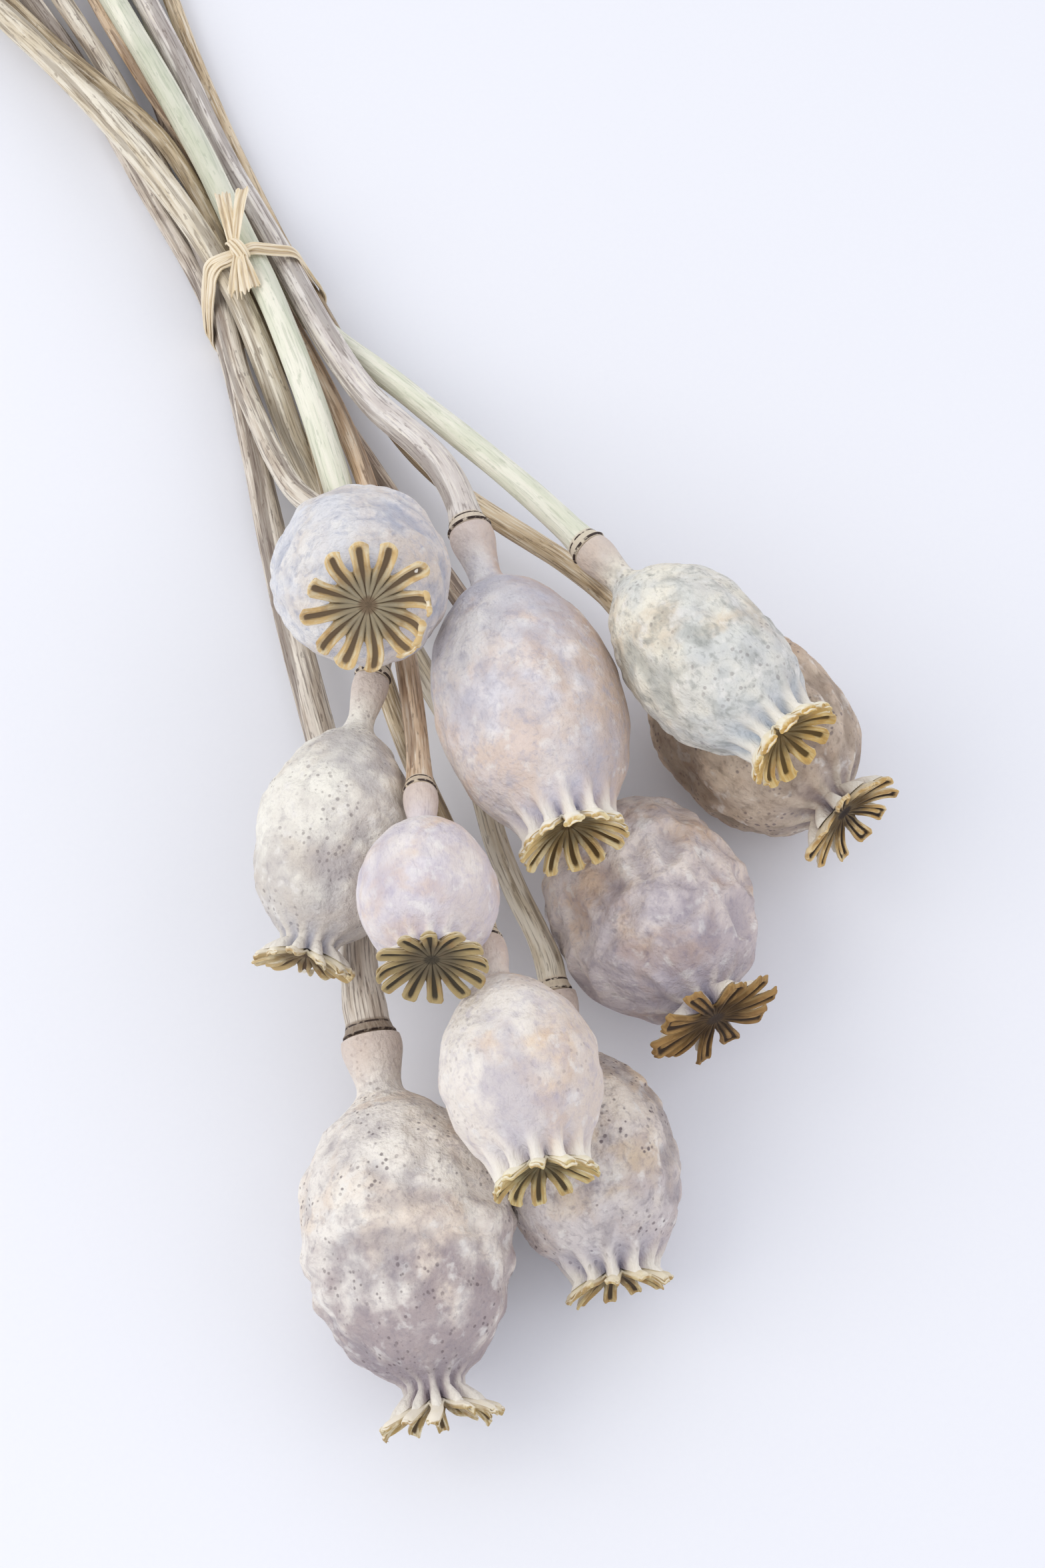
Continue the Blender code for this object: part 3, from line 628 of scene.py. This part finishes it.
def makeLobe(head, look, number, seed):
    # One blunt gutter of the crown, lying along its ray, in the head's own directions
    rays = head.rays
    radius = head.crownRadius
    random = np.random.default_rng(1000 * seed + number)
    long, curl, lean, wide = random.uniform(-1, 1, 4) * look["wild"]
    piece, grid = addSheet("lobe", across=12, along=18)
    out = grid[:, 1]
    across = 2 * grid[:, 0] - 1
    notch = look["notch"]
    free = easeStep(out, notch, 1.0)
    steps, run, climb = lobeCurve(look, 24 * curl + look.get("curled", {}).get(number, 0))
    # Sector shared with the neighbours up to the notch, then a finger of its own width
    flat = np.interp(out, steps, run) * radius * (1 + 0.05 * long * free)
    sector = math.tan(math.pi / rays)
    finger = sector * notch * radius * look["width"] * (1 + 0.1 * wide * free)
    finger = finger * (1 + look["flare"] * easeStep(out, notch, 0.95))
    nominal = np.interp(out, *lobeCurve(look)[:2]) * radius
    half = np.where(out <= notch, sector * nominal, np.minimum(sector * nominal, finger))
    toTip = np.clip(1 - (1 - out) * radius / np.maximum(finger, 1e-6), 0, 1)
    rounding = (1 - look["square"]) * finger * np.abs(across) ** 2.5 * toTip
    edge = (np.abs(across) ** 4 + toTip ** 4) ** 0.25
    # The groove is narrow near the hub and takes up a third of the lobe further out
    groove = 0.11 + 0.19 * easeStep(out, 0.2, 0.7)
    sunk = 1 - easeStep(edge, 0.5 * groove, 1.6 * groove)
    if look.get("twin"):
        sunk = bump(edge, 0.42, 0.17) * easeStep(out, 0.02, 0.3)
    bead = bump(edge, 0.76, 0.2) * easeStep(out, 0.25, 0.6)
    # The valleys between the lobes near the hub, sunk and given painted shade
    valley = easeStep(edge, 0.8, 1.0) * easeStep(out, 0.1, notch)
    bow = (0.05 * bead - 0.055 * sunk * easeStep(out, 0.03, 0.25) - 0.06 * valley) * radius
    lift = np.interp(out, steps, climb) * radius + bow + lobeHeight * mm
    notches = 0.0
    if look["square"] > 0.6:
        notches = 0.35 * mm * np.cos(across * 7 + number) * easeStep(out, 0.93, 1.0)
    turn = math.tau * number / rays
    x = flat - rounding + notches
    y = across * half + lean * 0.09 * radius * free * free
    lift = lift + 0.06 * radius * wide * across * free
    points = np.stack([
        x * math.cos(turn) - y * math.sin(turn),
        x * math.sin(turn) + y * math.cos(turn), lift], axis=1)
    writePoints(piece.data, points)
    skin = np.stack([out * radius, across * half, np.full(len(out), 3.0 * mm * number)], axis=1)
    # The middle of the crown, painted darker: partly its own tone, partly painted shade in the sunken
    # cup
    storeValues(
        piece.data, groove=np.clip(sunk + 0.9 * easeStep(out, 0.2, 0.06), 0, 1),
        inner=easeStep(out, 0.72, 0.3),
        gap=valley * easeStep(out, notch + 0.05, notch - 0.1), skin=skin / mm)
    return piece


def makeCrown(letter):
    head = heads[letter]
    look = crownLooks[letter]
    seed = 1 + letters.index(letter)
    lobes = [makeLobe(head, look, number, seed) for number in range(head.rays)]
    piece = joinPieces(lobes, "crown" + letter.upper())
    mergeSeams(piece, 0.02 * mm)
    mesh = piece.data
    facing = np.mean([face.normal[2] for face in mesh.polygons])
    # The thickness goes below the modelled upper side, whichever way its faces point
    below = -1.0 if facing > 0 else 1.0
    applyModifier(piece, "SOLIDIFY", thickness=look["thick"] * mm, offset=below)
    applyModifier(piece, "SUBSURF", levels=1, render_levels=1)
    mergeSeams(piece)
    mesh = piece.data
    facing = np.empty(len(mesh.vertices) * 3)
    mesh.vertex_normals.foreach_get("vector", facing)
    downwards = -facing.reshape(-1, 3)[:, 2]
    storeValues(mesh, below=easeStep(downwards, -0.2, 0.25))
    placed = head.toWorld(readPoints(mesh))
    placed[:, 2] = np.maximum(placed[:, 2], lowest)
    writePoints(mesh, placed)
    finishPiece(piece, crownMaterial(letter, look, seed), "crown_" + letter, 60)


for letter in letters:
    makeCrown(letter)
print("crowns made")


# Stems. Furrow is the depth of the lengthwise grooves and size the distance between them, in
# millimetres. Pale and second are the colours of the ridges, dark is that of the dark streaks and
# flecks and of the painted shade in the grooves, and ring that of the ring under the head, where it
# isn't the usual one.
stemLooks = {
    "a": {"furrow": 0.05, "size": 2.6, "pale": "#F3F1E0", "second": "#E7E8D3", "dark": "#9AA58C",
          "darkAmount": 0.4, "slot": "stem_pale_green"},
    "b": {"furrow": 0.08, "size": 1.4, "pale": "#E6E0DA", "second": "#D2C9C3", "dark": "#75675F",
          "darkAmount": 0.65, "slot": "stem_mottled"},
    "c": {"furrow": 0.04, "size": 2.4, "pale": "#EEEDDC", "second": "#E0E2CD", "dark": "#9FA78C",
          "darkAmount": 0.35, "slot": "stem_pale_green"},
    "d": {"furrow": 0.14, "size": 1.5, "pale": "#DCC8A8", "second": "#BFA784", "dark": "#644F3B",
          "darkAmount": 0.7},
    "e": {"furrow": 0.16, "size": 1.3, "pale": "#E0D7C8", "second": "#C6B8A6", "dark": "#64524A",
          "darkAmount": 0.7},
    "f": {"furrow": 0.12, "size": 1.4, "pale": "#E0C8AC", "second": "#C8AA8A", "dark": "#6C503E",
          "darkAmount": 0.65},
    "g": {"furrow": 0.12, "size": 1.3, "pale": "#D8C6A6", "second": "#B5A180", "dark": "#604C38",
          "darkAmount": 0.65},
    "h": {"furrow": 0.14, "size": 1.2, "pale": "#C6B3A0", "second": "#A39082", "dark": "#4E3D37",
          "darkAmount": 0.75},
    "i": {"furrow": 0.14, "size": 1.4, "pale": "#EAE2D0", "second": "#D6C9B0", "dark": "#756450",
          "darkAmount": 0.65},
    "j": {"furrow": 0.2, "size": 1.6, "pale": "#DDD3C6", "second": "#C2B4A4", "dark": "#62524A",
          "darkAmount": 0.75, "ring": "#8D7B69"},
}


stemTints = {"fibre": "#F6EFE0", "ring": "#DACBB4", "ringLine": "#3E302A", "cut": "#EDE6D2"}


def stemMaterial(letter, look, seed):
    # Dried hollow stalk: straw-like fibres run lengthwise, with painted shade in the furrows between
    # them
    material, tree, shader, skin = plantMaterial("driedStalk" + letter.upper())
    dark = look["dark"]
    amount = look["darkAmount"]
    broad = mottle(tree, skin, 2.2, seed, stretch=(1, 1, 7))
    fibres = mottle(tree, skin, 0.45, seed + 2, stretch=(1, 1, 22))
    colour = paintOver(tree, look["pale"], look["second"], broad, 0.4, 0.6)
    colour = paintOver(tree, colour, stemTints["fibre"], fibres, 0.47, 0.34, 0.8 * amount)
    colour = paintOver(tree, colour, dark, fibres, 0.53, 0.64, 0.85 * amount)
    wander = addNode(tree, "ShaderNodeMapRange", {"Value": fibres, "To Min": 0.5, "To Max": 1.5})
    # Painted shade in the sunken furrows
    furrow = addNode(tree, "ShaderNodeMath", {0: "furrow", 1: wander}, operation="MULTIPLY")
    colour = paintOver(tree, colour, dark, furrow, 0.35, 0.9, 0.75 * amount)
    # Weathered flecks, a few millimetres long
    flecks = mottle(tree, skin, 0.9, seed + 6, stretch=(1, 1, 3.5))
    colour = paintOver(tree, colour, dark, flecks, 0.6, 0.7, 0.8 * amount)
    # The ring under the head: a pale band between two thin dark lines, broken here and there
    ring = look.get("ring", stemTints["ring"])
    colour = paintOver(tree, colour, ring, "along", 3.2, 2.4, 0.8)
    breaks = mottle(tree, skin, 1.1, seed + 4, 2.0)
    for place in (0.35, 2.2):
        line = addNode(tree, "ShaderNodeMath", {0: "along", 1: place, 2: 0.2}, operation="COMPARE")
        colour = paintOver(tree, colour, stemTints["ringLine"], breaks, 0.36, 0.5, within=line)
    colour = paintOver(tree, colour, stemTints["cut"], "cut")
    finishSurface(tree, shader, colour, 0.6, fibres, 0.7, 0.0004)
    return material


class Stem:
    # Centre line and radius of one stem, from its ring to its cut end
    def __init__(self, letter):
        rings = solidRings("stem_" + letter, heads[letter].ringPoint, 8)
        self.centres = np.array([ring.mean(axis=0) for ring in rings])
        self.radii, self.along = measureRings(rings, self.centres)
        self.length = self.along[-1]

    def place(self, places):
        centres = curveThrough(self.along, self.centres, places)
        return centres, np.interp(places, self.along, self.radii)


stems = {letter: Stem(letter) for letter in letters}


def carriedAxes(line):
    # Sideways and upward directions carried along a line without twisting
    ahead = np.gradient(line, axis=0)
    ahead /= np.linalg.norm(ahead, axis=1)[:, None]
    sideways = np.empty_like(line)
    current = np.cross(ahead[0], up)
    for index, direction in enumerate(ahead):
        current = current - (current @ direction) * direction
        current /= np.linalg.norm(current)
        sideways[index] = current
    return sideways, np.cross(sideways, ahead)


def makeStem(letter):
    stem = stems[letter]
    look = stemLooks[letter]
    seed = 11 + letters.index(letter)
    along = 190
    piece, grid = addSheet("stem" + letter.upper(), 36, along)
    row = np.round(grid[:, 1] * along).astype(int)
    # Rows along the stem, close together at the ring, then over the cut and into the hollow
    inside = 5
    share = np.clip((np.arange(along + 1) - 2) / (along - 2 - inside), 0, 1) ** 1.5
    places = share * stem.length
    factors = np.ones(along + 1)
    factors[:3] = (0.0, 0.93, 0.98)
    factors[-inside:] = (0.93, 0.62, 0.56, 0.5, 0.0)
    places[-inside:] = stem.length - np.array([0, 0, 1.5, 3.5, 3.5]) * mm
    centres, radii = stem.place(places)
    samples = 400
    sideways, upward = carriedAxes(stem.place(np.linspace(0, stem.length, samples))[0])
    pick = np.clip(places / stem.length * (samples - 1), 0, samples - 1).astype(int)
    turn = math.tau * grid[:, 0]
    around = np.cos(turn)[:, None] * sideways[pick][row] + np.sin(turn)[:, None] * upward[pick][row]
    local = np.stack([np.cos(turn), np.sin(turn)], axis=1) * radii[row][:, None] / mm
    skin = np.stack([local[:, 0], local[:, 1], places[row] / mm], axis=1)
    grooves = noiseAt(skin * (1, 1, 1 / 26), look["size"], seed)
    crooked = noiseAt(skin * (0.2, 0.2, 1), 16, seed + 9)
    fromRing = places[row] / mm
    ringPart = bump(fromRing, 0.5, 0.4) + bump(fromRing, 2.3, 0.35)
    plain = easeStep(fromRing, 2, 8)
    furrow = easeStep(-grooves, 0.05, 0.45) * plain
    swell = 1 + 0.05 * ringPart + 0.03 * crooked * plain
    radius = (radii[row] * swell - look["furrow"] * mm * 1.6 * furrow) * factors[row]
    points = centres[row] + around * radius[:, None]
    points[:, 2] = np.maximum(points[:, 2], lowest)
    writePoints(piece.data, points)
    # furrow marks the sunken grooves, which the material darkens as painted shade
    storeValues(
        piece.data, skin=skin, along=np.where(row > along - 8, 200, fromRing),
        furrow=furrow, cut=(row >= along - 3) * 1.0)
    mergeSeams(piece)
    finishPiece(piece, stemMaterial(letter, look, seed), "stem_" + letter, 55)


for letter in letters:
    makeStem(letter)
print("stems made")


# The raffia tie. Sizes are in millimetres. Middle is the band's middle, from the middle, the low
# end and the top of the solid's box. Slant is how far the bands shift towards the heads for each
# millimetre down. A strand or wrap has a shift and a width, and a tail has a start and a finish
# from the knot's middle, its widths along its length, its lift and its folds.
tieLook = {
    "slant": 0.42, "fibre": "#F3E7CF", "second": "#E3D0AC", "dark": "#9A7A54", "thickness": 0.28,
    "middle": (-1.5, 9.5, -4.6), "knot": (1.6, 2.4, 1.3),
    "left": [(-2.1, 1.9), (-0.8, 1.8), (0.5, 1.8), (1.7, 1.6)],
    "right": [(-0.9, 2.1), (0.7, 1.9)],
    "wraps": [(-0.95, 1.5), (0.2, 1.6), (1.2, 1.3)],
    "tails": [
        ((-0.4, 1.6, 0.2), (3.2, 15.4, 0.9), (2.0, 3.1, 3.6), 1.2, 2),
        ((0.5, 1.8, 0.5), (7.8, 13.8, 2.0), (1.6, 2.6, 3.2), 1.0, 1),
        ((-0.6, -1.4, 0.1), (-5.4, -10.6, -0.4), (1.7, 2.4, 3.2), 0.9, 2),
        ((0.0, -1.6, 0.3), (-2.9, -11.4, 0.2), (1.6, 2.2, 2.8), 1.1, 1),
        ((0.4, -1.6, 0.2), (-0.4, -10.6, -0.2), (1.4, 2.0, 2.6), 0.8, 1),
    ],
}


def raffiaMaterial():
    # Raffia, a split palm leaf dried flat: dull straw fibres with darker edges, and painted shade in
    # the troughs of its folds
    material, tree, shader, skin = plantMaterial("driedRaffia")
    fibres = mottle(tree, skin, 0.35, 3, stretch=(1, 1, 18))
    colour = paintOver(tree, tieLook["fibre"], tieLook["second"], fibres, 0.4, 0.62)
    colour = paintOver(tree, colour, tieLook["dark"], fibres, 0.6, 0.76, 0.6)
    # Painted shade in the troughs of the folds and in the creases of the knot
    colour = paintOver(tree, colour, tieLook["dark"], "fold", most=0.55)
    finishSurface(tree, shader, colour, 0.55, fibres, 0.6, 0.0002)
    return material


def makeRibbon(name, line, widths, lifts, seed, folds, depth, ragged=0.0):
    # A folded strip of raffia along a line, its face towards the lifts
    piece, grid = addSheet(name, across=10, along=3 * len(line))
    knots = np.concatenate([[0.0], np.cumsum(np.linalg.norm(np.diff(line, axis=0), axis=1))])
    places = grid[:, 1] * knots[-1]
    centre = curveThrough(knots, line, places)
    ahead = curveThrough(knots, np.gradient(line, knots, axis=0), places)
    face = curveThrough(knots, lifts, places)
    ahead /= np.linalg.norm(ahead, axis=1)[:, None]
    face -= (face * ahead).sum(axis=1)[:, None] * ahead
    face /= np.linalg.norm(face, axis=1)[:, None]
    sideways = np.cross(ahead, face)
    width = np.interp(grid[:, 1], np.linspace(0, 1, len(widths)), widths)
    offset = grid[:, 0] - 0.5
    flat = np.stack([offset * 3.0, np.full(len(offset), float(seed)), places / 6], axis=1)
    waver = noiseAt(flat, 1.0, seed)
    folded = np.cos(folds * math.tau * (grid[:, 0] + 0.05 * waver))
    height = depth * folded + 0.12 * waver - 0.5 * depth * (2 * offset) ** 2
    points = centre + sideways * (offset * width)[:, None] + face * height[:, None]
    if ragged:
        # The loose end is torn
        torn = np.stack([offset * 14, offset * 3, np.full(len(offset), 2.0 * seed)], axis=1)
        fray = ragged * noiseAt(torn, 1.0, seed) * easeStep(grid[:, 1], 0.8, 1.0)
        points = points + ahead * fray[:, None]
    writePoints(piece.data, points * mm)
    skin = np.stack([offset * width, np.full(len(offset), 5.0 * seed), places], axis=1)
    # The troughs of the folds, which the material darkens as painted shade
    storeValues(piece.data, skin=skin, fold=easeStep(-folded, 0.4, 1.0))
    applyModifier(piece, "SOLIDIFY", thickness=tieLook["thickness"] * mm, offset=0.0)
    return piece


def bundleOutline(level, clearance, sides=48):
    # The taut outline round the stems where they pass the tie, in millimetres
    samples = []
    for letter in letters:
        centres, radii = stems[letter].place(np.linspace(0.3, 1, 260) * stems[letter].length)
        near = np.abs(centres[:, 1] - level) < 8 * mm
        samples.append(np.column_stack([centres[near][:, [0, 2]], radii[near]]) / mm)
    samples = np.concatenate(samples)
    outline = []
    for turn in np.linspace(0, math.tau, sides, endpoint=False):
        heading = np.array([math.cos(turn), math.sin(turn)])
        edges = samples[:, :2] + (samples[:, 2:] + clearance) * heading
        outline.append(edges[np.argmax(edges @ heading)])
    outline = np.array(outline)
    return (outline + np.roll(outline, 1, axis=0) + np.roll(outline, -1, axis=0)) / 3


def makeTie():
    low, high = (np.array(corner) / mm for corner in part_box("raffia_tie"))
    shift = tieLook["middle"]
    middle = np.array([0.5 * (low[0] + high[0]) + shift[0], low[1] + shift[1], high[2] + shift[2]])
    level = middle[1] * mm
    parts = []
    outline = bundleOutline(level, 0.35)
    centre = outline.mean(axis=0)
    turns = np.arctan2(outline[:, 1] - centre[1], outline[:, 0] - centre[0])
    start = np.argmin(np.abs(turns - math.radians(96)))
    outline = np.roll(outline, -start, axis=0)
    top = outline[0, 1]
    half = len(outline) // 2
    leftPath = outline[:half + 1]
    rightPath = np.concatenate([outline[half:], outline[:1]])[::-1]
    paths = ((leftPath, tieLook["left"]), (rightPath, tieLook["right"]))
    for number, (path, strands) in enumerate(paths):
        spread = np.sin(np.linspace(0, 1, len(path)) * math.pi) ** 0.5
        for strand, (shift, width) in enumerate(strands):
            y = middle[1] + tieLook["slant"] * (path[:, 1] - top) + shift * (0.35 + 0.65 * spread)
            line = np.column_stack([path[:, 0], y, path[:, 1]])
            outward = np.column_stack([
                path[:, 0] - centre[0], np.zeros(len(path)), path[:, 1] - centre[1]])
            outward /= np.linalg.norm(outward, axis=1)[:, None]
            line = line + outward * (0.1 + 0.16 * (strand % 2))
            widths = (width, width * 1.15, width)
            seed = 3 + 7 * number + strand
            parts.append(makeRibbon("band", line, widths, outward, seed, folds=1, depth=0.14))
    # The knot: a crumpled core with strips folded over it
    knotAt = np.array([middle[0] - 0.6, middle[1] + 0.4, top + 1.1])
    bpy.ops.mesh.primitive_uv_sphere_add(segments=40, ring_count=24, radius=1, location=(0, 0, 0))
    core = bpy.context.object
    ball = readPoints(core.data)
    creased = np.cos(9 * np.arctan2(ball[:, 2], ball[:, 0]) + 2 * ball[:, 1])
    crumpled = 1 + 0.05 * creased + 0.08 * noiseAt(ball, 0.6, 4)
    points = ball * tieLook["knot"] * crumpled[:, None] + knotAt
    writePoints(core.data, points * mm)
    skin = np.stack([3 * ball[:, 0], 3 * ball[:, 2], 2 * ball[:, 1]], axis=1)
    # The creases of the knot, which the material darkens as painted shade
    storeValues(core.data, skin=skin, fold=easeStep(-creased, 0.5, 1.0))
    parts.append(core)
    arch = np.linspace(-0.1, math.pi + 0.1, 11)
    for strand, (shift, width) in enumerate(tieLook["wraps"]):
        line = np.column_stack([
            knotAt[0] + shift * 0.8 + 0.5 * np.cos(arch), knotAt[1] - 2.9 * np.cos(arch),
            knotAt[2] + 1.5 * np.sin(arch) - 0.1])
        facing = np.column_stack([
            np.full(len(arch), 0.3 * shift), -0.5 * np.cos(arch), np.sin(arch) + 0.15])
        widths = (width * 0.8, width, width * 0.8)
        parts.append(makeRibbon("wrap", line, widths, facing, 21 + strand, folds=1, depth=0.16))
    share = np.linspace(0, 1, 9)[:, None]
    for number, (start, finish, widths, lift, folds) in enumerate(tieLook["tails"]):
        line = knotAt + np.array(start) + share * (np.array(finish) - np.array(start))
        line = line + np.sin(math.pi * share) * (0, 0, lift)
        facing = np.tile((0.25 * (-1) ** number, 0.1, 1.0), (len(share), 1))
        parts.append(makeRibbon("tail", line, widths, facing, 31 + number, folds, 0.28, ragged=0.9))
    piece = joinPieces(parts, "raffiaTie")
    finishPiece(piece, raffiaMaterial(), "raffia_tie", 50)


makeTie()
print("tie made")


# The surface, the light and the camera. Places are in metres. The camera's place, where the
# photograph was taken from, is measured from the tie, and tie is the tie's place in the frame.
stageLook = {
    "card": "#EEF0F7", "grain": "#F0F2F8", "cardSize": 6, "room": "#F4F5FA", "roomLight": 0.93,
    "aim": (0, -0.05, 0),
    "lights": {
        "windowLight": {"place": (-0.7, 0.15, 0.75), "size": 0.8, "power": 3.0, "colour": "#FFFBF4"},
        "fillLight": {"place": (0.7, -0.5, 0.7), "size": 0.9, "power": 1.2, "colour": "#F6F5FA"},
    },
    "tie": (0.01008, 0.04213, 0.0), "camera": (-0.0844, -0.3045, 0.4220),
    "look": (0.1847, 0.3624, -0.9135), "upward": (0.4147, 0.8140, 0.4067),
}


def paperMaterial():
    # Smooth white card, matt and faintly blue
    material, tree, shader = newMaterial("whiteCard")
    place = addNode(tree, "ShaderNodeTexCoord", output="Object")
    grain = addNode(tree, "ShaderNodeTexNoise", {
        "Vector": place, "Scale": 900.0, "Detail": 2.0}, output="Fac")
    colour = paintOver(tree, stageLook["card"], stageLook["grain"], grain)
    tree.links.new(colour, shader.inputs["Base Color"])
    shader.inputs["Roughness"].default_value = 0.9
    return material


def makeStage():
    deselectAll()
    # Just under the lowest points, so that nothing sinks into it
    bpy.ops.mesh.primitive_plane_add(size=stageLook["cardSize"], location=(0, 0, -0.0001))
    floor = bpy.context.object
    floor.name = "whiteSurface"
    floor.data.transform(floor.matrix_world)
    floor.matrix_world = Matrix.Identity(4)
    floor.data.materials.append(paperMaterial())


def makeLight(name, light):
    lamp = bpy.data.lights.new(name, "AREA")
    lamp.shape = "DISK"
    lamp.size = light["size"]
    lamp.energy = light["power"]
    lamp.color = hexColour(light["colour"])[:3]
    made = bpy.data.objects.new(name, lamp)
    bpy.context.scene.collection.objects.link(made)
    made.location = light["place"]
    heading = Vector(stageLook["aim"]) - Vector(light["place"])
    made.rotation_euler = heading.to_track_quat("-Z", "Y").to_euler()


def makeRoom():
    # An even pale light from all sides
    world = bpy.data.worlds.new("paleRoom")
    world.use_nodes = True
    background = world.node_tree.nodes["Background"]
    background.inputs["Color"].default_value = hexColour(stageLook["room"])
    background.inputs["Strength"].default_value = stageLook["roomLight"]
    bpy.context.scene.world = world
    bpy.context.scene.view_settings.view_transform = "Standard"


def makeCamera():
    place = Vector(stageLook["camera"]) + Vector(stageLook["tie"])
    look = Vector(stageLook["look"]).normalized()
    upward = Vector(stageLook["upward"])
    right = look.cross(upward).normalized()
    upward = right.cross(look)
    lens = bpy.data.cameras.new("photographView")
    lens.lens = 50
    lens.sensor_width = 36
    lens.sensor_fit = "AUTO"
    lens.clip_start = 0.01
    camera = bpy.data.objects.new("photographView", lens)
    bpy.context.scene.collection.objects.link(camera)
    turned = Matrix((right, upward, -look)).transposed().to_4x4()
    turned.translation = place
    camera.matrix_world = turned
    bpy.context.scene.camera = camera


makeStage()
for name, light in stageLook["lights"].items():
    makeLight(name, light)
makeRoom()
makeCamera()
print("stage, light and camera made")
